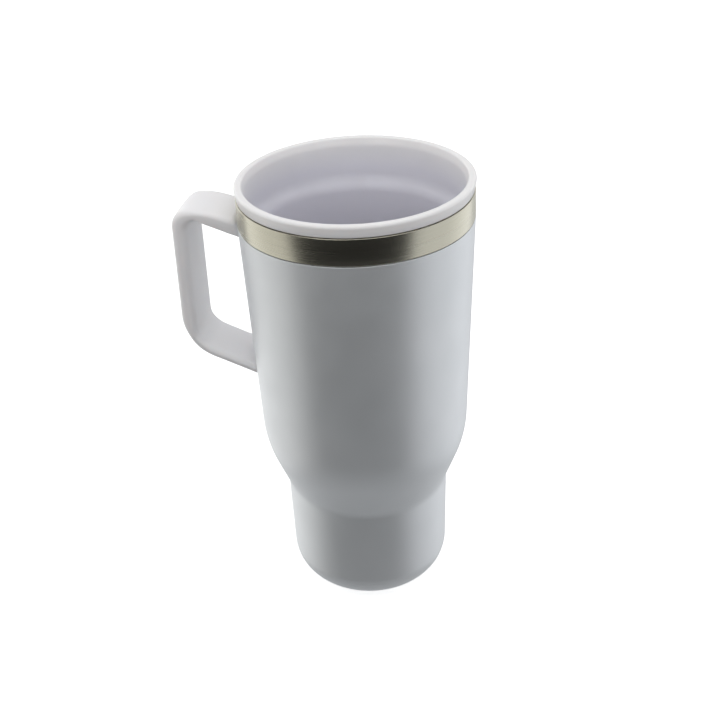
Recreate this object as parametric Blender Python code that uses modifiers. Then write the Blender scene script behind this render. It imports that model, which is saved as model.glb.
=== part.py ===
"""Double-wall travel mug: white plastic liner, coated steel shell, bare steel trim ring and moulded handle.

The mug stands on the floor plane with its axis on world Z. The handle points along -X.
Lengths are written in millimetres and turned into metres when a mesh or a place is made.
"""

import math

import bmesh
import bpy
from mathutils import Vector

MM = 0.001
GAP = 0.3                     # clearance between touching pieces

# Outer form, as radii and heights above the floor
TOTAL_HEIGHT = 180.0
RIM_RADIUS = 44.4
RIM_INNER_RADIUS = 40.95
SKIRT_RADIUS = 43.0
SKIRT_HEIGHT = 4.4
BODY_TOP_RADIUS = 44.1
BODY_TOP_Z = 165.0
SHOULDER_TOP_RADIUS = 41.4
SHOULDER_TOP_Z = 71.1
SHOULDER_FOOT_RADIUS = 33.3
SHOULDER_FOOT_Z = 49.4
SHOULDER_ROUNDING = 48.0
SHOULDER_HOLLOW = 14.0
BASE_RADIUS = 32.6
BASE_ROUNDING = 14.0
BASE_OPENING_RADIUS = 17.8

# Outer shell
SHELL_WALL = 0.6
NECK_RADIUS = 42.4
NECK_TOP_Z = 174.0
BODY_EDGE_ROUNDING = 0.8

# Foot
PAD_THICKNESS = 1.7
PAD_STANDOUT = 0.8
PAD_EDGE = 0.4
PLATE_RADIUS = 19.6
PLATE_THICKNESS = 0.8
PLATE_DISH_RADIUS = 12.0
PLATE_DISH_HEIGHT = 0.9

# Trim ring
TRIM_WALL = 0.5
TRIM_TOP_RADIUS = 43.2
TRIM_FOOT_RADIUS = 43.5
TRIM_EDGE = 0.35

# Liner
LINER_WALL = 1.3
LINER_GUIDE_RADIUS = NECK_RADIUS - SHELL_WALL - GAP
LINER_MOUTH_RADIUS = 40.4
LEDGE_TOP_RADIUS = 40.1
LEDGE_TOP_Z = 163.8
LEDGE_FOOT_RADIUS = 38.0
LEDGE_FOOT_Z = 160.0
LINER_SHOULDER_TOP_RADIUS = 36.2
LINER_SHOULDER_TOP_Z = 72.0
LINER_SHOULDER_FOOT_RADIUS = 28.4
LINER_SHOULDER_FOOT_Z = 50.0
LINER_BASE_RADIUS = 27.6
LINER_FLOOR_Z = 8.6
LINER_FLOOR_ROUNDING = 8.0

# Silicone ring under the liner's flange
SEAL_WIDTH = 0.6
SEAL_INNER_RADIUS = LINER_GUIDE_RADIUS + GAP

# Handle, as distances from the axis and heights in the plane through the mug's axis
HANDLE_WIDTH = 22.3
HANDLE_EDGE = 1.9
UPPER_ROOT_OUTER = (38.0, 164.8)
CREST = (57.0, 169.5)
GRIP_TOP_OUTER = (69.2, 169.3)
GRIP_FOOT_OUTER = (70.4, 110.6)
LOWER_ROOT_OUTER = (38.0, 97.6)
UPPER_ROOT_INNER = (38.0, 156.6)
GRIP_TOP_INNER = (62.9, 166.3)
GRIP_FOOT_INNER = (63.8, 113.2)
LOWER_ROOT_INNER = (38.0, 102.3)
CREST_ROUNDING = 30.0
TOP_OUTER_ROUNDING = 7.5
TOP_INNER_ROUNDING = 4.0
FOOT_OUTER_ROUNDING = 19.5
FOOT_INNER_ROUNDING = 8.0
CREST_STEPS = 2
TOP_STEPS = 6
FOOT_STEPS = 8

# Handle fixings: one screw through the shell into each end of the handle
SCREW_HEIGHTS = {"upper": 161.6, "lower": 102.2}
BOSS_RADIUS = 1.7
BORE_RADIUS = 1.2
BORE_DEPTH = 4.1
SHANK_RADIUS = 0.9
SHANK_LENGTH = 4.4
HEAD_RADIUS = 1.9
HEAD_THICKNESS = 0.9
RECESS_LENGTH = 2.0
RECESS_WIDTH = 0.5
RECESS_DEPTH = 0.4
WASHER_RADIUS = 2.5
WASHER_THICKNESS = 0.4

STEPS = 48                    # facets round the mug
SMALL_STEPS = 20              # facets round a screw or washer
MERGE_DISTANCE = 0.00001      # metres

COATED_WHITE = ((0.80, 0.82, 0.82), 0.38, 0.0)
LINER_WHITE = ((0.84, 0.83, 0.86), 0.30, 0.0)
HANDLE_WHITE = ((0.84, 0.83, 0.84), 0.36, 0.0)
BRUSHED_STEEL = ((0.62, 0.59, 0.53), 0.26, 1.0)
PLAIN_STEEL = ((0.60, 0.60, 0.60), 0.32, 1.0)
SILICONE = ((0.78, 0.78, 0.77), 0.60, 0.0)
PAD_GREY = ((0.55, 0.55, 0.55), 0.70, 0.0)


# ---------------------------------------------------------------- outlines

def fillet_arc(before, corner, after, radius, segments):
    """Points of an arc that rounds a corner between two straight runs."""
    corner = Vector(corner)
    to_before = (Vector(before) - corner).normalized()
    to_after = (Vector(after) - corner).normalized()
    half_angle = to_before.angle(to_after) / 2
    reach = radius / math.tan(half_angle)
    start = corner + to_before * reach
    end = corner + to_after * reach
    centre = corner + (to_before + to_after).normalized() * (radius / math.sin(half_angle))
    from_centre = start - centre
    turn = math.pi - 2 * half_angle
    if from_centre.cross(end - centre) < 0:
        turn = -turn
    points = []
    for step in range(segments + 1):
        angle = turn * step / segments
        cosine = math.cos(angle)
        sine = math.sin(angle)
        x = centre.x + from_centre.x * cosine - from_centre.y * sine
        y = centre.y + from_centre.x * sine + from_centre.y * cosine
        points.append((x, y))
    return points


def outline(corners):
    """Turn corners (x, y) or (x, y, radius, segments) into a list of points."""
    points = []
    count = len(corners)
    for index, corner in enumerate(corners):
        if len(corner) == 2:
            points.append(corner)
            continue
        x, y, radius, segments = corner
        before = corners[index - 1][:2]
        after = corners[(index + 1) % count][:2]
        points.extend(fillet_arc(before, (x, y), after, radius, segments))
    return points


def body_corners():
    """Outer line of the coated body from its upper edge down to the base opening."""
    return [
        (BODY_TOP_RADIUS, BODY_TOP_Z, BODY_EDGE_ROUNDING, 3),
        (SHOULDER_TOP_RADIUS, SHOULDER_TOP_Z, SHOULDER_ROUNDING, 5),
        (SHOULDER_FOOT_RADIUS, SHOULDER_FOOT_Z, SHOULDER_HOLLOW, 4),
        (BASE_RADIUS, PAD_STANDOUT, BASE_ROUNDING, 8),
        (BASE_OPENING_RADIUS, PAD_STANDOUT),
    ]


def body_radius(height):
    """Radius of the body's tapered upper part at a height."""
    share = (BODY_TOP_Z - height) / (BODY_TOP_Z - SHOULDER_TOP_Z)
    return BODY_TOP_RADIUS + share * (SHOULDER_TOP_RADIUS - BODY_TOP_RADIUS)


# ---------------------------------------------------------------- scene helpers

def clear_objects():
    for item in list(bpy.data.objects):
        bpy.data.objects.remove(item)


def new_collection(name):
    collection = bpy.data.collections.new(name)
    bpy.context.scene.collection.children.link(collection)
    return collection


def add_material(piece, finish):
    colour, roughness, metallic = finish
    material = bpy.data.materials.new(piece.name + "_finish")
    material.use_nodes = True
    shader = material.node_tree.nodes["Principled BSDF"]
    shader.inputs["Base Color"].default_value = (*colour, 1.0)
    shader.inputs["Roughness"].default_value = roughness
    shader.inputs["Metallic"].default_value = metallic
    piece.data.materials.append(material)


def smooth(mesh):
    mesh.shade_smooth()
    mesh.set_sharp_from_angle(angle=math.radians(30))


def turned(name, points, collection, closed, steps=STEPS):
    """Spin a profile about local Z. The profile runs down its outer side."""
    vertices = [(x * MM, 0, z * MM) for x, z in points]
    edges = [(index, index + 1) for index in range(len(points) - 1)]
    if closed:
        edges.append((len(points) - 1, 0))
    mesh = bpy.data.meshes.new(name)
    mesh.from_pydata(vertices, edges, [])
    piece = bpy.data.objects.new(name, mesh)
    collection.objects.link(piece)
    spin = piece.modifiers.new("Spin", "SCREW")
    spin.steps = steps
    spin.render_steps = steps
    spin.use_merge_vertices = True
    spin.merge_threshold = MERGE_DISTANCE
    spin.use_smooth_shade = True
    return piece


def hide_cutter(cutter):
    cutter.hide_render = True
    cutter.display_type = "WIRE"


def combine(piece, other, operation):
    joint = piece.modifiers.new(other.name, "BOOLEAN")
    joint.operation = operation
    joint.object = other
    hide_cutter(other)


def rod(name, collection, radius, start_radius, end_radius, height):
    """Cylinder along X on the handle's side, between two distances from the mug's axis."""
    mesh = bpy.data.meshes.new(name)
    shape = bmesh.new()
    length = (end_radius - start_radius) * MM
    bmesh.ops.create_cone(shape, cap_ends=True, segments=SMALL_STEPS, radius1=radius * MM,
                          radius2=radius * MM, depth=length)
    shape.to_mesh(mesh)
    shape.free()
    item = bpy.data.objects.new(name, mesh)
    item.location = (-(start_radius + end_radius) / 2 * MM, 0, height * MM)
    item.rotation_euler.y = math.pi / 2
    collection.objects.link(item)
    return item


def box(name, collection, size, location, parent):
    mesh = bpy.data.meshes.new(name)
    shape = bmesh.new()
    bmesh.ops.create_cube(shape, size=1.0)
    bmesh.ops.scale(shape, vec=[side * MM for side in size], verts=shape.verts)
    shape.to_mesh(mesh)
    shape.free()
    item = bpy.data.objects.new(name, mesh)
    item.parent = parent
    item.location = [value * MM for value in location]
    collection.objects.link(item)
    return item


# ---------------------------------------------------------------- body pieces

def make_outer_shell(parts, cutters):
    """Coated steel sheet: neck, tapered body, shoulder, cup-holder base, open at both ends."""
    corners = [(NECK_RADIUS, NECK_TOP_Z), (NECK_RADIUS, BODY_TOP_Z)] + body_corners()
    shell = turned("outer_shell", outline(corners), parts, closed=False)
    wall = shell.modifiers.new("Wall", "SOLIDIFY")
    wall.thickness = SHELL_WALL * MM
    wall.offset = -1
    wall.use_even_offset = True
    for place, height in SCREW_HEIGHTS.items():
        radius = body_radius(height)
        hole = rod("shell_hole_" + place, cutters, BOSS_RADIUS + GAP, radius - 3, radius + 3, height)
        combine(shell, hole, "DIFFERENCE")
    add_material(shell, COATED_WHITE)


def make_trim_ring(parts):
    """Bare steel band between the rim and the coated body."""
    top = TOTAL_HEIGHT - SKIRT_HEIGHT - GAP
    foot = BODY_TOP_Z + GAP
    corners = [
        (TRIM_TOP_RADIUS, top, TRIM_EDGE / 2, 2),
        (TRIM_FOOT_RADIUS, foot, TRIM_EDGE, 3),
        (TRIM_FOOT_RADIUS - TRIM_WALL, foot),
        (TRIM_TOP_RADIUS - TRIM_WALL, top),
    ]
    ring = turned("steel_trim_ring", outline(corners), parts, closed=True)
    add_material(ring, BRUSHED_STEEL)


def make_inner_liner(parts):
    """Plastic cup with a rolled rim, a guide wall inside the neck, a sloping ledge and a rounded floor."""
    skirt_foot = TOTAL_HEIGHT - SKIRT_HEIGHT
    guide_foot = BODY_TOP_Z + 2.0
    taper = LINER_WALL + 0.08
    corners = [
        (0, LINER_FLOOR_Z),
        (LINER_BASE_RADIUS, LINER_FLOOR_Z, LINER_FLOOR_ROUNDING, 5),
        (LINER_SHOULDER_FOOT_RADIUS, LINER_SHOULDER_FOOT_Z, 12.0, 3),
        (LINER_SHOULDER_TOP_RADIUS, LINER_SHOULDER_TOP_Z, 30.0, 3),
        (LEDGE_FOOT_RADIUS, LEDGE_FOOT_Z, 1.5, 2),
        (LEDGE_TOP_RADIUS, LEDGE_TOP_Z, 1.5, 2),
        (LINER_MOUTH_RADIUS, TOTAL_HEIGHT - 3.0, 3.0, 1),
        (RIM_INNER_RADIUS, TOTAL_HEIGHT, 1.2, 3),
        (RIM_RADIUS, TOTAL_HEIGHT, 1.2, 3),
        (SKIRT_RADIUS, skirt_foot),
        (LINER_GUIDE_RADIUS, skirt_foot),
        (LINER_GUIDE_RADIUS, guide_foot),
        (LEDGE_TOP_RADIUS + LINER_WALL - 0.2, guide_foot - 2.0),
        (LEDGE_TOP_RADIUS + LINER_WALL - 0.2, LEDGE_TOP_Z),
        (LEDGE_FOOT_RADIUS + LINER_WALL, LEDGE_FOOT_Z - 0.4),
        (LINER_SHOULDER_TOP_RADIUS + taper, LINER_SHOULDER_TOP_Z - 0.4, 30.0, 3),
        (LINER_SHOULDER_FOOT_RADIUS + taper, LINER_SHOULDER_FOOT_Z - 0.4, 12.0, 3),
        (LINER_BASE_RADIUS + LINER_WALL, LINER_FLOOR_Z - LINER_WALL, LINER_FLOOR_ROUNDING + 1, 5),
        (0, LINER_FLOOR_Z - LINER_WALL),
    ]
    liner = turned("inner_liner", outline(corners), parts, closed=False)
    add_material(liner, LINER_WHITE)


def make_liner_seal(parts):
    """Silicone ring that sits on the neck's edge under the liner's flange."""
    foot = NECK_TOP_Z + GAP
    top = TOTAL_HEIGHT - SKIRT_HEIGHT - GAP
    outer = SEAL_INNER_RADIUS + SEAL_WIDTH
    edge = SEAL_WIDTH / 3
    corners = [
        (outer, top, edge, 1),
        (outer, foot, edge, 1),
        (SEAL_INNER_RADIUS, foot, edge, 1),
        (SEAL_INNER_RADIUS, top, edge, 1),
    ]
    seal = turned("liner_seal", outline(corners), parts, closed=True)
    add_material(seal, SILICONE)


def make_base_plate(parts):
    """Pressed disc with a raised centre, welded over the shell's base opening."""
    foot = PAD_THICKNESS + GAP
    top = foot + PLATE_THICKNESS
    corners = [
        (0, top + PLATE_DISH_HEIGHT),
        (PLATE_DISH_RADIUS - 1, top + PLATE_DISH_HEIGHT, 1.0, 2),
        (PLATE_DISH_RADIUS + 1, top, 1.0, 2),
        (PLATE_RADIUS, top),
        (PLATE_RADIUS, foot),
        (PLATE_DISH_RADIUS + 1, foot, 1.0, 2),
        (PLATE_DISH_RADIUS - 1, foot + PLATE_DISH_HEIGHT, 1.0, 2),
        (0, foot + PLATE_DISH_HEIGHT),
    ]
    plate = turned("base_plate", outline(corners), parts, closed=False)
    add_material(plate, PLAIN_STEEL)


def make_base_pad(parts):
    """Round non-slip pad let into the shell's base opening. The mug stands on it."""
    radius = BASE_OPENING_RADIUS - GAP
    corners = [
        (0, PAD_THICKNESS),
        (radius, PAD_THICKNESS),
        (radius, 0, PAD_EDGE, 2),
        (0, 0),
    ]
    pad = turned("base_pad", outline(corners), parts, closed=False)
    add_material(pad, PAD_GREY)


# ---------------------------------------------------------------- handle

def handle_sides():
    """Matching points along the handle's outer and inner sides, from its upper root to its lower root."""
    crest = fillet_arc(UPPER_ROOT_OUTER, CREST, GRIP_TOP_OUTER, CREST_ROUNDING, CREST_STEPS)
    outer_top = fillet_arc(CREST, GRIP_TOP_OUTER, GRIP_FOOT_OUTER, TOP_OUTER_ROUNDING, TOP_STEPS)
    outer_foot = fillet_arc(GRIP_TOP_OUTER, GRIP_FOOT_OUTER, LOWER_ROOT_OUTER, FOOT_OUTER_ROUNDING, FOOT_STEPS)
    inner_top = fillet_arc(UPPER_ROOT_INNER, GRIP_TOP_INNER, GRIP_FOOT_INNER, TOP_INNER_ROUNDING, TOP_STEPS)
    inner_foot = fillet_arc(GRIP_TOP_INNER, GRIP_FOOT_INNER, LOWER_ROOT_INNER, FOOT_INNER_ROUNDING, FOOT_STEPS)
    under_crest = []
    start = Vector(UPPER_ROOT_INNER)
    for x, _ in crest:
        share = (x - start.x) / (outer_top[0][0] - start.x)
        under_crest.append(tuple(start.lerp(Vector(inner_top[0]), share)))
    outer = [UPPER_ROOT_OUTER] + crest + outer_top + outer_foot + [LOWER_ROOT_OUTER]
    inner = [UPPER_ROOT_INNER] + under_crest + inner_top + inner_foot + [LOWER_ROOT_INNER]
    return outer, inner


def flat_strip(name, outer, inner, collection):
    """Open strip between two matching lines of points, standing in the XZ plane on the -X side."""
    shape = bmesh.new()
    rails = []
    for line in (outer, inner):
        rails.append([shape.verts.new((-x * MM, 0, z * MM)) for x, z in line])
    for index in range(len(outer) - 1):
        after = index + 1
        shape.faces.new((rails[0][index], rails[0][after], rails[1][after], rails[1][index]))
    mesh = bpy.data.meshes.new(name)
    shape.to_mesh(mesh)
    shape.free()
    strip = bpy.data.objects.new(name, mesh)
    collection.objects.link(strip)
    return strip


def mug_clearance(cutters):
    """Solid a little larger than the mug, which trims the handle's ends to the curved wall."""
    top = TOTAL_HEIGHT
    foot = SHOULDER_TOP_Z
    corners = [
        (0, top),
        (body_radius(BODY_TOP_Z) + GAP, top),
        (body_radius(BODY_TOP_Z) + GAP, BODY_TOP_Z),
        (body_radius(foot) + GAP, foot),
        (0, foot),
    ]
    return turned("mug_clearance", corners, cutters, closed=False, steps=STEPS)


def make_handle(parts, cutters):
    """Moulded handle with rounded edges, and a bored boss at each end that enters the shell."""
    handle = flat_strip("handle", *handle_sides(), parts)
    width = handle.modifiers.new("Width", "SOLIDIFY")
    width.thickness = HANDLE_WIDTH * MM
    width.offset = 0
    edges = handle.modifiers.new("Edges", "BEVEL")
    edges.width = HANDLE_EDGE * MM
    edges.segments = 2
    edges.limit_method = "ANGLE"
    edges.angle_limit = math.radians(50)
    combine(handle, mug_clearance(cutters), "DIFFERENCE")
    for place, height in SCREW_HEIGHTS.items():
        inside = body_radius(height) - SHELL_WALL
        boss = rod("boss_" + place, cutters, BOSS_RADIUS, inside, inside + 2.5, height)
        combine(handle, boss, "UNION")
        bore = rod("bore_" + place, cutters, BORE_RADIUS, inside - 1, inside + BORE_DEPTH, height)
        combine(handle, bore, "DIFFERENCE")
    smooth(handle.data)
    add_material(handle, HANDLE_WHITE)


def make_handle_washer(parts, place, height):
    """Flat washer between the shell's inner face and the screw head, lying across X."""
    seat = body_radius(height) - SHELL_WALL - GAP
    half = WASHER_THICKNESS / 2
    corners = [
        (WASHER_RADIUS, half),
        (WASHER_RADIUS, -half),
        (BORE_RADIUS, -half),
        (BORE_RADIUS, half),
    ]
    washer = turned("handle_washer_" + place, corners, parts, closed=True, steps=SMALL_STEPS)
    washer.location = (-(seat - half) * MM, 0, height * MM)
    washer.rotation_euler.y = math.pi / 2
    add_material(washer, PLAIN_STEEL)


def make_handle_screw(parts, cutters, place, height):
    """Wafer-head screw with its tip towards -X and a cross recess in its head."""
    seat = body_radius(height) - SHELL_WALL - GAP - WASHER_THICKNESS - GAP
    corners = [
        (0, HEAD_THICKNESS),
        (HEAD_RADIUS, HEAD_THICKNESS, 0.4, 2),
        (HEAD_RADIUS, 0),
        (SHANK_RADIUS, 0),
        (SHANK_RADIUS, 1 - SHANK_LENGTH),
        (SHANK_RADIUS / 3, -SHANK_LENGTH),
        (0, -SHANK_LENGTH),
    ]
    screw = turned("handle_screw_" + place, outline(corners), parts, closed=False, steps=SMALL_STEPS)
    screw.location = (-seat * MM, 0, height * MM)
    screw.rotation_euler.y = math.pi / 2
    slots = {"a": (RECESS_LENGTH, RECESS_WIDTH), "b": (RECESS_WIDTH, RECESS_LENGTH)}
    for label, (width, depth) in slots.items():
        size = (width, depth, 2 * RECESS_DEPTH)
        slot = box("recess_" + place + "_" + label, cutters, size, (0, 0, HEAD_THICKNESS), screw)
        combine(screw, slot, "DIFFERENCE")
    add_material(screw, PLAIN_STEEL)


def main():
    clear_objects()
    parts = new_collection("travel_mug")
    cutters = new_collection("cutters")
    make_outer_shell(parts, cutters)
    make_trim_ring(parts)
    make_inner_liner(parts)
    make_liner_seal(parts)
    make_base_plate(parts)
    make_base_pad(parts)
    make_handle(parts, cutters)
    for place, height in SCREW_HEIGHTS.items():
        make_handle_washer(parts, place, height)
        make_handle_screw(parts, cutters, place, height)


main()
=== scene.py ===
"""Looks of a white travel mug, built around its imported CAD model.

The mug's axis is world Z and its handle points along -X. Shape constants are in millimetres.
The fine meshes follow the CAD outlines with round edges. The band and the rim's lip alone stand apart
from their CAD faces, by up to 0.7 mm.
"""

import math

import bmesh
import bpy
from mathutils import Matrix, Vector


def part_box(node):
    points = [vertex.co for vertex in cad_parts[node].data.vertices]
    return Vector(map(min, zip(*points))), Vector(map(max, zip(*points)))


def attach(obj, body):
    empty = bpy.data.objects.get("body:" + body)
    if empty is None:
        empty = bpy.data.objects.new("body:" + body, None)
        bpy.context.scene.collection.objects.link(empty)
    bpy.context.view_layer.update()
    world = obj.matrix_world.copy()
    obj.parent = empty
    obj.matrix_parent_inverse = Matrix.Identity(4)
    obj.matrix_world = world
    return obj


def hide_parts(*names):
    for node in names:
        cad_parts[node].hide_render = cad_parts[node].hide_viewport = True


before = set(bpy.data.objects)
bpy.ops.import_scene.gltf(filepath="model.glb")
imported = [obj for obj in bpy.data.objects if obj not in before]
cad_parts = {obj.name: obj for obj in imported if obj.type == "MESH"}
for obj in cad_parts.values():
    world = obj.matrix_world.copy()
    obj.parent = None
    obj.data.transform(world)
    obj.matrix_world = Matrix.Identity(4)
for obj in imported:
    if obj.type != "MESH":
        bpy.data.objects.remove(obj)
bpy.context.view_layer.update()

MM = 0.001
ROUND_STEPS = 192             # facets round the mug's axis

# Heights and radii that the CAD model gives
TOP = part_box("inner_liner")[1].z / MM
SHELL_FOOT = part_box("outer_shell")[0].z / MM
NECK_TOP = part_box("outer_shell")[1].z / MM
PAD_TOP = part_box("base_pad")[1].z / MM
PAD_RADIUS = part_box("base_pad")[1].x / MM

# Outer shell, from its neck to its base opening
NECK_RADIUS = 42.4
BODY_TOP = (44.1, 165.0)
SHOULDER_TOP = (41.4, 71.1)
SHOULDER_FOOT = (33.3, 49.4)
BASE_RADIUS = 32.6
BASE_OPENING = 17.8
SHELL_WALL = 0.6
SCREW_HEIGHTS = (161.6, 102.2)
SCREW_HOLE = 2.0
CUT_REACH = 3.0               # how far a screw's cutter runs past the wall

# Handle: corners of its outer and inner sides in the plane through the axis
HANDLE_WIDTH = 22.3
HANDLE_EDGE = 2.6
HANDLE_CROWN = 0.35
HANDLE_OUTER = ((38.0, 164.8), (57.0, 169.5), (69.2, 169.3), (70.4, 110.6), (38.0, 97.6))
HANDLE_INNER = ((38.0, 156.6), (62.9, 166.3), (63.8, 113.2), (38.0, 102.3))
CREST_ROUNDING = 30.0
TOP_ROUNDINGS = (7.5, 4.0)    # outer, inner
FOOT_ROUNDINGS = (19.5, 8.0)
HANDLE_SLACK = 0.06           # gap between the handle's ends and the body
BOSS_RADIUS = 1.7
BOSS_REACH = 2.0              # how far a screw boss goes up into the handle
SCREW_BORE = 1.2
SCREW_BORE_DEPTH = 4.1

# Bare band under the rim, as (radius, height)
BAND_TOP = (43.9, TOP - 4.7)
BAND_FOOT = (44.1, BODY_TOP[1] + 0.3)
BAND_INSIDE_FOOT = 43.0
BAND_INSIDE_TOP = 42.7

# Liner cup, from its floor to its rim
LINER_FLOOR = 8.6             # upper face
LINER_UNDERSIDE = 7.3
MOUTH_RADIUS = 41.4
RIM_RADIUS = 44.4
SKIRT_RADIUS = 43.6           # foot of the rim's outer face
SKIRT_HEIGHT = TOP - 4.4
FLANGE_RADIUS = 41.5          # where the liner drops inside the band

# Rings moulded into the underside of the pad
GROOVES = 4
GROOVE_START = 2.2            # from the pad's edge to the first groove
GROOVE_PITCH = 3.4
GROOVE_WIDTH = 1.0
GROOVE_DEPTH = 0.35
GROOVE_SLOPE = 0.2            # how far a groove's side leans

# Camera: its place round the axis, then how it is turned, in radians
VIEW_AZIMUTH = 10.7           # from -Y towards +X, in degrees
CAMERA_REACH = 376.4          # distance from the axis
CAMERA_RISE = 150.3           # height over the rim
CAMERA_PITCH = -0.5446
CAMERA_YAW = 0.0397
CAMERA_ROLL = -0.0658
CAMERA_LENS = 55
LENS_SHIFT = (0.04833, 0.00167)

# Strength of the room's light on the object, by where it comes from
ROOM_FRONT = 0.01
ROOM_BEHIND = 0.6
ROOM_BELOW = 0.38
ROOM_ABOVE = 0.2
FLOOR_DROP = 0.1              # keeps the floor clear of the pad's underside
FLOOR_GLOW = 0.6
LIGHT_AIM = 100.0             # height on the axis that every soft box faces


# ---------------------------------------------------------------- outlines

def corner_arc(before, corner, after, radius, segments):
    """Points of an arc that rounds the corner between two straight runs."""
    corner = Vector(corner)
    to_before = (Vector(before) - corner).normalized()
    to_after = (Vector(after) - corner).normalized()
    half = to_before.angle(to_after) / 2
    start = corner + to_before * radius / math.tan(half)
    centre = corner + (to_before + to_after).normalized() * radius / math.sin(half)
    spoke = start - centre
    turn = math.pi - 2 * half
    if to_before.cross(to_after) > 0:
        turn = -turn
    points = []
    for step in range(segments + 1):
        spin = Matrix.Rotation(turn * step / segments, 2)
        points.append(tuple(centre + spin @ spoke))
    return points


def outline(corners):
    """Turn corners (x, y) or (x, y, radius, segments) into a list of points."""
    points = []
    for index, corner in enumerate(corners):
        if len(corner) == 2:
            points.append(tuple(corner))
            continue
        before = corners[index - 1][:2]
        after = corners[(index + 1) % len(corners)][:2]
        points.extend(corner_arc(before, corner[:2], after, corner[2], corner[3]))
    return points


def shell_radius(height):
    """Outer radius of the tapered upper body at a height."""
    share = (BODY_TOP[1] - height) / (BODY_TOP[1] - SHOULDER_TOP[1])
    return BODY_TOP[0] + share * (SHOULDER_TOP[0] - BODY_TOP[0])


# ---------------------------------------------------------------- meshes

def mesh_object(name, shape, sharp_angle=35):
    """Make an object from a bmesh, smooth it and keep its crisp edges."""
    bmesh.ops.recalc_face_normals(shape, faces=shape.faces)
    mesh = bpy.data.meshes.new(name)
    shape.to_mesh(mesh)
    shape.free()
    mesh.shade_smooth()
    mesh.set_sharp_from_angle(angle=math.radians(sharp_angle))
    item = bpy.data.objects.new(name, mesh)
    bpy.context.scene.collection.objects.link(item)
    return item


def turned(name, points, closed, steps=ROUND_STEPS):
    """Spin an outline about Z. A point on the axis becomes a single vertex."""
    shape = bmesh.new()
    rings = []
    for radius, height in points:
        if radius < 1e-6:
            rings.append([shape.verts.new((0, 0, height * MM))])
            continue
        ring = []
        for step in range(steps):
            angle = 2 * math.pi * step / steps
            place = (radius * MM * math.cos(angle), radius * MM * math.sin(angle), height * MM)
            ring.append(shape.verts.new(place))
        rings.append(ring)
    pairs = list(zip(rings, rings[1:]))
    if closed:
        pairs.append((rings[-1], rings[0]))
    for upper, lower in pairs:
        for step in range(steps):
            after = (step + 1) % steps
            corners = [upper[step % len(upper)], lower[step % len(lower)],
                       lower[after % len(lower)], upper[after % len(upper)]]
            unique = list(dict.fromkeys(corners))
            shape.faces.new(unique)
    return mesh_object(name, shape)


def cut(piece, cutter, operation="DIFFERENCE"):
    """Apply a Boolean and remove the cutter."""
    boolean = piece.modifiers.new("Cut", "BOOLEAN")
    boolean.operation = operation
    boolean.object = cutter
    bpy.context.view_layer.update()
    evaluated = piece.evaluated_get(bpy.context.evaluated_depsgraph_get())
    mesh = bpy.data.meshes.new_from_object(evaluated)
    piece.modifiers.clear()
    piece.data = mesh
    bpy.data.objects.remove(cutter)


def rod(radius, start_radius, end_radius, height, steps=48):
    """Cylinder along X on the handle's side of the mug, used as a cutter."""
    shape = bmesh.new()
    length = (end_radius - start_radius) * MM
    middle = (start_radius + end_radius) / 2 * MM
    turn = Matrix.Rotation(math.pi / 2, 4, "Y")
    place = Matrix.Translation((-middle, 0, height * MM)) @ turn
    bmesh.ops.create_cone(shape, cap_ends=True, segments=steps, radius1=radius * MM,
                          radius2=radius * MM, depth=length, matrix=place)
    return mesh_object("rod", shape)


# ---------------------------------------------------------------- node helpers

def new_material(name):
    material = bpy.data.materials.new(name)
    material.use_nodes = True
    tree = material.node_tree
    return material, tree, tree.nodes["Principled BSDF"]


def add_node(tree, kind, **settings):
    item = tree.nodes.new(kind)
    for key, value in settings.items():
        setattr(item, key, value)
    return item


def noise(tree, scale, detail=2.0, stretch=(1, 1, 1)):
    """Noise over the piece's own space, scale counted per metre along each axis."""
    place = add_node(tree, "ShaderNodeTexCoord")
    spread = add_node(tree, "ShaderNodeMapping")
    spread.inputs["Scale"].default_value = stretch
    texture = add_node(tree, "ShaderNodeTexNoise")
    texture.inputs["Scale"].default_value = scale
    texture.inputs["Detail"].default_value = detail
    tree.links.new(place.outputs["Object"], spread.inputs["Vector"])
    tree.links.new(spread.outputs["Vector"], texture.inputs["Vector"])
    return texture.outputs["Fac"]


def ranged(tree, source, low, high, start=0.3, end=0.7):
    """Map a value onto a range of numbers."""
    item = add_node(tree, "ShaderNodeMapRange")
    item.inputs["From Min"].default_value = start
    item.inputs["From Max"].default_value = end
    item.inputs["To Min"].default_value = low
    item.inputs["To Max"].default_value = high
    tree.links.new(source, item.inputs["Value"])
    return item.outputs["Result"]


def blended(tree, source, first, second):
    """Mix two colours by a value."""
    item = add_node(tree, "ShaderNodeMix", data_type="RGBA")
    item.inputs[6].default_value = (*first, 1)
    item.inputs[7].default_value = (*second, 1)
    tree.links.new(source, item.inputs["Factor"])
    return item.outputs[2]


def bumped(tree, shader, layers):
    """Stack bump layers (height, strength, distance in metres) onto the shader's normal."""
    normal = None
    for source, strength, distance in layers:
        item = add_node(tree, "ShaderNodeBump")
        item.inputs["Strength"].default_value = strength
        item.inputs["Distance"].default_value = distance
        tree.links.new(source, item.inputs["Height"])
        if normal is not None:
            tree.links.new(normal, item.inputs["Normal"])
        normal = item.outputs["Normal"]
    tree.links.new(normal, shader.inputs["Normal"])


# ---------------------------------------------------------------- materials

def coated_steel():
    """Pearl white coat: satin, mostly metallic, with orange peel and a little unevenness in its gloss."""
    material, tree, shader = new_material("coated_steel_white")
    cloud = ranged(tree, noise(tree, 25), 0, 1)
    colour = blended(tree, cloud, (0.735, 0.76, 0.778), (0.765, 0.785, 0.803))
    tree.links.new(colour, shader.inputs["Base Color"])
    shader.inputs["Metallic"].default_value = 0.8
    gloss = ranged(tree, noise(tree, 90, 3), 0.46, 0.51)
    tree.links.new(gloss, shader.inputs["Roughness"])
    peel = noise(tree, 700, 2)
    grain = noise(tree, 3500, 1)
    bumped(tree, shader, [(peel, 0.25, 0.00004), (grain, 0.15, 0.00001)])
    return material


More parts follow.
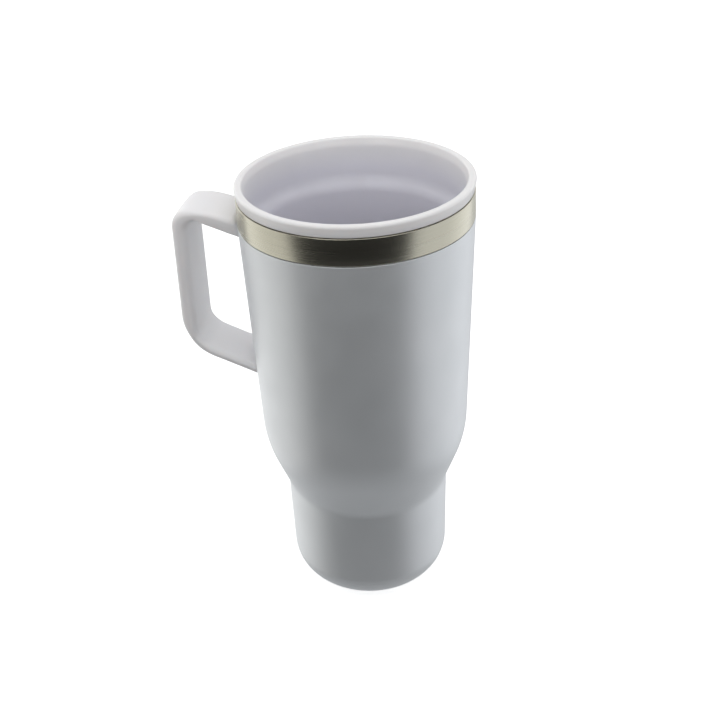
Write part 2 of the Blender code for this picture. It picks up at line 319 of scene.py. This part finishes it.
def brushed_steel():
    """Bare stainless band, brushed round the mug's axis."""
    material, tree, shader = new_material("brushed_steel_band")
    lines = noise(tree, 1, 3, (60, 60, 9000))
    broad = noise(tree, 1, 2, (25, 25, 1500))
    colour = blended(tree, ranged(tree, lines, 0, 1), (0.615, 0.595, 0.49), (0.655, 0.635, 0.53))
    tree.links.new(colour, shader.inputs["Base Color"])
    shader.inputs["Metallic"].default_value = 1.0
    shader.inputs["Anisotropic"].default_value = 0.5
    tree.links.new(ranged(tree, broad, 0.24, 0.28), shader.inputs["Roughness"])
    tangent = add_node(tree, "ShaderNodeTangent", direction_type="RADIAL", axis="Z")
    tree.links.new(tangent.outputs["Tangent"], shader.inputs["Tangent"])
    streaks = noise(tree, 1, 3, (500, 500, 6))
    bumped(tree, shader, [(lines, 0.015, 0.00001), (streaks, 0.08, 0.00002)])
    return material


def moulded_plastic(name, first, second, rough_low, rough_high):
    """White polypropylene with a soft glow, a fine mould grain and slight sink waves."""
    material, tree, shader = new_material(name)
    colour = blended(tree, ranged(tree, noise(tree, 30), 0, 1), first, second)
    tree.links.new(colour, shader.inputs["Base Color"])
    tree.links.new(ranged(tree, noise(tree, 120, 3), rough_low, rough_high), shader.inputs["Roughness"])
    shader.inputs["Subsurface Weight"].default_value = 0.3
    shader.inputs["Subsurface Radius"].default_value = (1.0, 0.9, 0.85)
    shader.inputs["Subsurface Scale"].default_value = 0.003
    waves = noise(tree, 60, 1)
    grain = noise(tree, 2600, 2)
    bumped(tree, shader, [(waves, 0.2, 0.0001), (grain, 0.18, 0.00001)])
    return material, tree, shader, colour


def handle_plastic():
    """The handle's plastic: an even white, a little duller than the rim."""
    return moulded_plastic("handle_plastic_white", (0.85, 0.84, 0.85), (0.88, 0.87, 0.88), 0.36, 0.44)[0]


def liner_plastic():
    """The cup's plastic: white at the rim, turning a darker, lavender white down the inside. The darkening
    is painted shade inside the cup.
    """
    material, tree, shader, rim_colour = moulded_plastic(
        "liner_plastic_white", (0.84, 0.825, 0.825), (0.87, 0.86, 0.855), 0.28, 0.36)
    place = add_node(tree, "ShaderNodeTexCoord")
    split = add_node(tree, "ShaderNodeSeparateXYZ")
    tree.links.new(place.outputs["Object"], split.inputs["Vector"])
    # Painted shade: from 2 mm to 12 mm under the rim the colour turns darker and lavender, and stays so
    # down the inside of the cup
    depth = ranged(tree, split.outputs["Z"], 0, 1, (TOP - 2) * MM, (TOP - 12) * MM)
    item = add_node(tree, "ShaderNodeMix", data_type="RGBA")
    item.inputs[7].default_value = (0.755, 0.745, 0.805, 1)
    tree.links.new(depth, item.inputs["Factor"])
    tree.links.new(rim_colour, item.inputs[6])
    tree.links.new(item.outputs[2], shader.inputs["Base Color"])
    return material


def silicone(name, first, second):
    """Matt rubber with a dusty, slightly mottled face."""
    material, tree, shader = new_material(name)
    colour = blended(tree, ranged(tree, noise(tree, 180, 4), 0, 1), first, second)
    tree.links.new(colour, shader.inputs["Base Color"])
    tree.links.new(ranged(tree, noise(tree, 400, 3), 0.62, 0.78), shader.inputs["Roughness"])
    bumped(tree, shader, [(noise(tree, 2000, 3), 0.3, 0.00002)])
    return material


def pressed_steel():
    """Plain sheet and screw steel with a faint rolled grain."""
    material, tree, shader = new_material("pressed_steel")
    rolled = noise(tree, 1, 3, (3000, 90, 90))
    colour = blended(tree, ranged(tree, rolled, 0, 1), (0.54, 0.54, 0.54), (0.64, 0.64, 0.63))
    tree.links.new(colour, shader.inputs["Base Color"])
    shader.inputs["Metallic"].default_value = 1.0
    tree.links.new(ranged(tree, noise(tree, 500, 2), 0.28, 0.42), shader.inputs["Roughness"])
    bumped(tree, shader, [(rolled, 0.15, 0.00001)])
    return material


# ---------------------------------------------------------------- pieces

def finish_piece(piece, material, slot, *nodes):
    """Give a fine piece its material and its body, and hide the CAD node it stands for."""
    piece.data.materials.clear()
    piece.data.materials.append(material)
    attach(piece, "root")
    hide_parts(*nodes)


def make_shell_body(material):
    """Coated shell with its hidden neck, rounded upper edge, shoulder and rounded base."""
    outside = [
        (NECK_RADIUS, NECK_TOP),
        (NECK_RADIUS, BODY_TOP[1]),
        (*BODY_TOP, 0.2, 6),
        (*SHOULDER_TOP, 48.0, 16),
        (*SHOULDER_FOOT, 14.0, 12),
        (BASE_RADIUS, SHELL_FOOT, 14.0, 24),
        (BASE_OPENING, SHELL_FOOT),
    ]
    wall = SHELL_WALL
    inside = [
        (BASE_OPENING, SHELL_FOOT + wall),
        (BASE_RADIUS - wall, SHELL_FOOT + wall, 14.0 - wall, 24),
        (SHOULDER_FOOT[0] - wall, SHOULDER_FOOT[1], 14.0 + wall, 12),
        (SHOULDER_TOP[0] - wall, SHOULDER_TOP[1], 48.0 - wall, 16),
        (BODY_TOP[0] - wall, BODY_TOP[1] - wall),
        (NECK_RADIUS - wall, BODY_TOP[1] - wall),
        (NECK_RADIUS - wall, NECK_TOP),
    ]
    shell = turned("shell_body", outline(outside + inside), closed=True)
    for height in SCREW_HEIGHTS:
        radius = shell_radius(height)
        cut(shell, rod(SCREW_HOLE, radius - CUT_REACH, radius + CUT_REACH, height))
    finish_piece(shell, material, "coated_steel", "outer_shell")


def make_trim_band(material):
    """Bare steel band with a softly rolled lower edge."""
    corners = [
        (*BAND_TOP, 0.15, 4),
        (*BAND_FOOT, 0.2, 8),
        (BAND_INSIDE_FOOT, BAND_FOOT[1], 0.1, 3),
        (BAND_INSIDE_TOP, BAND_TOP[1], 0.1, 3),
    ]
    band = turned("trim_band", outline(corners), closed=True)
    finish_piece(band, material, "brushed_steel", "steel_trim_ring")


def make_liner_cup(material):
    """White liner: floor, shoulder, upper wall, sloping ledge, mouth and rolled rim."""
    corners = [
        (0, LINER_FLOOR),
        (27.6, LINER_FLOOR, 8.0, 12),
        (28.4, 50.0, 12.0, 8),
        (36.2, 72.0, 30.0, 10),
        (38.0, 160.0, 8.0, 12),
        (40.1, 163.8, 8.0, 12),
        (40.5, TOP - 3.0, 6.0, 4),
        (MOUTH_RADIUS, TOP, 0.9, 10),
        (RIM_RADIUS, TOP, 1.0, 12),
        (SKIRT_RADIUS, SKIRT_HEIGHT, 0.25, 4),
        (FLANGE_RADIUS, SKIRT_HEIGHT),
        (FLANGE_RADIUS, 167.0),
        (41.2, 165.0),
        (41.2, 163.8),
        (39.3, 159.6),
        (37.58, 71.6, 30.0, 8),
        (29.78, 49.6, 12.0, 6),
        (28.9, LINER_UNDERSIDE, 9.0, 12),
        (0, LINER_UNDERSIDE),
    ]
    liner = turned("liner_cup", outline(corners), closed=False)
    finish_piece(liner, material, "liner_plastic", "inner_liner")


def make_foot_pad(material):
    """Non-slip pad with moulded rings under it."""
    corners = [(0, PAD_TOP), (PAD_RADIUS, PAD_TOP, 0.15, 2), (PAD_RADIUS, 0, 0.4, 4)]
    for groove in range(GROOVES):
        outer = PAD_RADIUS - GROOVE_START - groove * GROOVE_PITCH
        inner = outer - GROOVE_WIDTH
        corners.append((outer, 0, 0.15, 2))
        corners.append((outer - GROOVE_SLOPE, GROOVE_DEPTH, 0.12, 2))
        corners.append((inner + GROOVE_SLOPE, GROOVE_DEPTH, 0.12, 2))
        corners.append((inner, 0, 0.15, 2))
    corners.append((0, 0))
    pad = turned("foot_pad", outline(corners), closed=False)
    finish_piece(pad, material, "pad_rubber", "base_pad")


def straight(start, end, count):
    """Points from start towards end, without the end itself."""
    start = Vector(start)
    step = (Vector(end) - start) / count
    return [tuple(start + step * index) for index in range(count)]


def handle_below(top_arc, foot_arc, end):
    """Points of one side from its upper bend down the grip, round the lower bend and to its end."""
    grip = straight(top_arc[-1], foot_arc[0], 16)[1:]
    lower_arm = straight(foot_arc[-1], end, 10)[1:]
    return grip + foot_arc + lower_arm + [end]


def handle_stations():
    """Pairs of outer and inner points along the handle, from its upper root to its lower root."""
    bend = 16
    root, crest, top, foot, end = HANDLE_OUTER
    crest_arc = corner_arc(root, crest, top, CREST_ROUNDING, 6)
    top_arc = corner_arc(crest, top, foot, TOP_ROUNDINGS[0], bend)
    foot_arc = corner_arc(top, foot, end, FOOT_ROUNDINGS[0], bend)
    arm = straight(root, crest_arc[0], 6) + crest_arc
    arm += straight(crest_arc[-1], top_arc[0], 3)[1:]
    outer = arm + top_arc + handle_below(top_arc, foot_arc, end)
    root, top, foot, end = HANDLE_INNER
    top_arc = corner_arc(root, top, foot, TOP_ROUNDINGS[1], bend)
    foot_arc = corner_arc(top, foot, end, FOOT_ROUNDINGS[1], bend)
    inner = straight(root, top_arc[0], len(arm)) + top_arc + handle_below(top_arc, foot_arc, end)
    return list(zip(outer, inner))


def handle_section(half_thickness, half_width):
    """Rounded section as (across the width, through the thickness), with broad faces a little crowned."""
    edge = min(HANDLE_EDGE, half_thickness - 0.1)
    corners = [
        (half_width, half_thickness, edge, 8),
        (half_width, -half_thickness, edge, 8),
        (-half_width, -half_thickness, edge, 8),
        (-half_width, half_thickness, edge, 8),
    ]
    loop = outline(corners)
    section = []
    flat_parts = 8
    for index, point in enumerate(loop):
        after = loop[(index + 1) % len(loop)]
        lies_flat = abs(point[1] - after[1]) < 1e-6 and abs(point[0] - after[0]) > half_width
        section.extend(straight(point, after, flat_parts if lies_flat else 1))
    crowned = []
    for across, through in section:
        sag = HANDLE_CROWN * (across / half_width) ** 2
        crowned.append((across, through - math.copysign(sag, through)))
    return crowned


def make_handle_grip(material):
    """Handle lofted along its own path, its ends trimmed to the body's curved wall."""
    shape = bmesh.new()
    rings = []
    for outer, inner in handle_stations():
        outer = Vector(outer)
        inner = Vector(inner)
        middle = (outer + inner) / 2
        through = (outer - inner).normalized()
        ring = []
        for across, depth in handle_section((outer - inner).length / 2, HANDLE_WIDTH / 2):
            reach = middle + through * depth
            ring.append(shape.verts.new((-reach.x * MM, across * MM, reach.y * MM)))
        rings.append(ring)
    count = len(rings[0])
    for near, far in zip(rings, rings[1:]):
        for index in range(count):
            after = (index + 1) % count
            shape.faces.new((near[index], near[after], far[after], far[index]))
    shape.faces.new(rings[0])
    shape.faces.new(list(reversed(rings[-1])))
    grip = mesh_object("handle_grip", shape, 50)
    upper = BODY_TOP[0] + HANDLE_SLACK
    lower = SHOULDER_TOP[0] + HANDLE_SLACK
    corners = [(0, TOP), (upper, TOP), (upper, BODY_TOP[1]), (lower, SHOULDER_TOP[1]), (0, SHOULDER_TOP[1])]
    cut(grip, turned("mug_clearance", corners, closed=False))
    for height in SCREW_HEIGHTS:
        radius = shell_radius(height)
        inside = radius - SHELL_WALL
        cut(grip, rod(BOSS_RADIUS, inside, radius + BOSS_REACH, height), "UNION")
        cut(grip, rod(SCREW_BORE, radius - CUT_REACH, inside + SCREW_BORE_DEPTH, height))
    finish_piece(grip, material, "handle_plastic", "handle")


def paint_node(name, material):
    """Give a CAD node that stays in place its material."""
    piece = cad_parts[name]
    piece.data.materials.clear()
    piece.data.materials.append(material)


def make_object():
    steel = pressed_steel()
    make_shell_body(coated_steel())
    make_trim_band(brushed_steel())
    make_liner_cup(liner_plastic())
    make_foot_pad(silicone("foot_pad_grey", (0.50, 0.50, 0.50), (0.58, 0.58, 0.57)))
    make_handle_grip(handle_plastic())
    paint_node("liner_seal", silicone("seal_silicone", (0.74, 0.74, 0.73), (0.80, 0.80, 0.79)))
    for name in sorted(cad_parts):
        if name.startswith(("base_plate", "handle_screw", "handle_washer")):
            paint_node(name, steel)


# ---------------------------------------------------------------- stage

def make_floor():
    """Pale floor that glows a little. Only the camera sees it."""
    shape = bmesh.new()
    bmesh.ops.create_grid(shape, x_segments=4, y_segments=4, size=4.0)
    floor = mesh_object("floor", shape)
    material, tree, shader = new_material("pale_floor")
    colour = blended(tree, ranged(tree, noise(tree, 3), 0, 1), (0.93, 0.93, 0.93), (0.95, 0.95, 0.95))
    tree.links.new(colour, shader.inputs["Base Color"])
    shader.inputs["Roughness"].default_value = 0.9
    shader.inputs["Specular IOR Level"].default_value = 0.0
    shader.inputs["Emission Color"].default_value = (1, 1, 1, 1)
    shader.inputs["Emission Strength"].default_value = FLOOR_GLOW
    floor.data.materials.append(material)
    floor.location.z = -FLOOR_DROP * MM
    floor.visible_glossy = False
    floor.visible_diffuse = False
    floor.visible_transmission = False
    floor.visible_shadow = False


def make_world():
    """White backdrop for the camera. The object sees a room that is dark in front and at the sides."""
    world = bpy.data.worlds.new("studio")
    bpy.context.scene.world = world
    world.use_nodes = True
    tree = world.node_tree
    tree.nodes.clear()
    output = add_node(tree, "ShaderNodeOutputWorld")
    backdrop = add_node(tree, "ShaderNodeBackground")
    backdrop.inputs["Color"].default_value = (1, 1, 1, 1)
    fill = add_node(tree, "ShaderNodeBackground")
    fill.inputs["Color"].default_value = (0.97, 0.98, 1.0, 1)
    place = add_node(tree, "ShaderNodeTexCoord")
    around = math.radians(VIEW_AZIMUTH)
    behind = (-math.sin(around), math.cos(around), 0)
    front = add_node(tree, "ShaderNodeValue")
    front.outputs["Value"].default_value = ROOM_FRONT
    total = front.outputs["Value"]
    # Each region: its direction, the facing at which it starts and is full, and its strength
    regions = (
        (behind, 0.05, 0.8, ROOM_BEHIND),
        ((0, 0, -1), 0.48, 0.85, ROOM_BELOW),
        ((0, 0, 1), 0.0, 0.6, ROOM_ABOVE),
    )
    for direction, start, full, strength in regions:
        facing = add_node(tree, "ShaderNodeVectorMath", operation="DOT_PRODUCT")
        facing.inputs[1].default_value = direction
        tree.links.new(place.outputs["Generated"], facing.inputs[0])
        plus = add_node(tree, "ShaderNodeMath", operation="ADD")
        tree.links.new(ranged(tree, facing.outputs["Value"], 0, strength, start, full), plus.inputs[0])
        tree.links.new(total, plus.inputs[1])
        total = plus.outputs["Value"]
    tree.links.new(total, fill.inputs["Strength"])
    path = add_node(tree, "ShaderNodeLightPath")
    mix = add_node(tree, "ShaderNodeMixShader")
    tree.links.new(path.outputs["Is Camera Ray"], mix.inputs["Fac"])
    tree.links.new(fill.outputs["Background"], mix.inputs[1])
    tree.links.new(backdrop.outputs["Background"], mix.inputs[2])
    tree.links.new(mix.outputs["Shader"], output.inputs["Surface"])


def panel(name, azimuth, elevation, distance, width, height, watts, colour):
    """Soft box facing the mug. Angles in degrees, azimuth from the camera rightwards, sizes in metres."""
    around = math.radians(VIEW_AZIMUTH + azimuth)
    up = math.radians(elevation)
    level = math.cos(up)
    direction = Vector((math.sin(around) * level, -math.cos(around) * level, math.sin(up)))
    light = bpy.data.lights.new(name, "AREA")
    light.shape = "RECTANGLE"
    light.size = width
    light.size_y = height
    light.energy = watts
    light.color = colour
    item = bpy.data.objects.new(name, light)
    item.location = Vector((0, 0, LIGHT_AIM * MM)) + direction * distance
    item.rotation_euler = direction.to_track_quat("Z", "Y").to_euler()
    item.visible_camera = False
    bpy.context.scene.collection.objects.link(item)


def make_lights():
    """A wide softbox on each side, one overhead and two small ones in front, left and right."""
    panel("left_softbox", -113, -4, 1.2, 2.8, 2.3, 15.2, (1.0, 0.99, 0.96))
    panel("right_softbox", 94, -4, 1.2, 2.2, 2.3, 12.0, (0.97, 0.98, 1.0))
    panel("top_softbox", 0, 84, 1.2, 1.6, 1.6, 9.0, (1.0, 1.0, 1.0))
    panel("front_left_softbox", -30, 21, 1.4, 0.8, 0.5, 3.2, (1.0, 1.0, 1.0))
    panel("front_right_softbox", 24, 21, 1.4, 0.8, 0.5, 2.4, (1.0, 1.0, 1.0))


def make_camera():
    """Camera above and in front of the mug, a little to the right of square with the handle."""
    around = math.radians(VIEW_AZIMUTH)
    turn = Matrix.Rotation(around, 3, "Z")
    level = Matrix(((1, 0, 0), (0, 0, -1), (0, 1, 0)))
    swing = Matrix.Rotation(CAMERA_YAW, 3, "Z")
    tilt = Matrix.Rotation(CAMERA_PITCH, 3, "X")
    lean = Matrix.Rotation(CAMERA_ROLL, 3, "Z")
    looks = lean @ tilt.transposed() @ level @ swing.transposed() @ turn.transposed()
    right, down, ahead = looks
    axes = Matrix((right, -down, -ahead)).transposed()
    data = bpy.data.cameras.new("camera")
    data.sensor_width = 36
    data.lens = CAMERA_LENS
    data.shift_x = LENS_SHIFT[0]
    data.shift_y = LENS_SHIFT[1]
    data.clip_start = 0.01
    camera = bpy.data.objects.new("camera", data)
    place = turn @ Vector((0, -CAMERA_REACH * MM, (TOP + CAMERA_RISE) * MM))
    camera.matrix_world = Matrix.Translation(place) @ axes.to_4x4()
    bpy.context.scene.collection.objects.link(camera)
    bpy.context.scene.camera = camera


make_camera()
make_object()
make_floor()
make_world()
make_lights()
bpy.context.scene.view_settings.view_transform = "Standard"
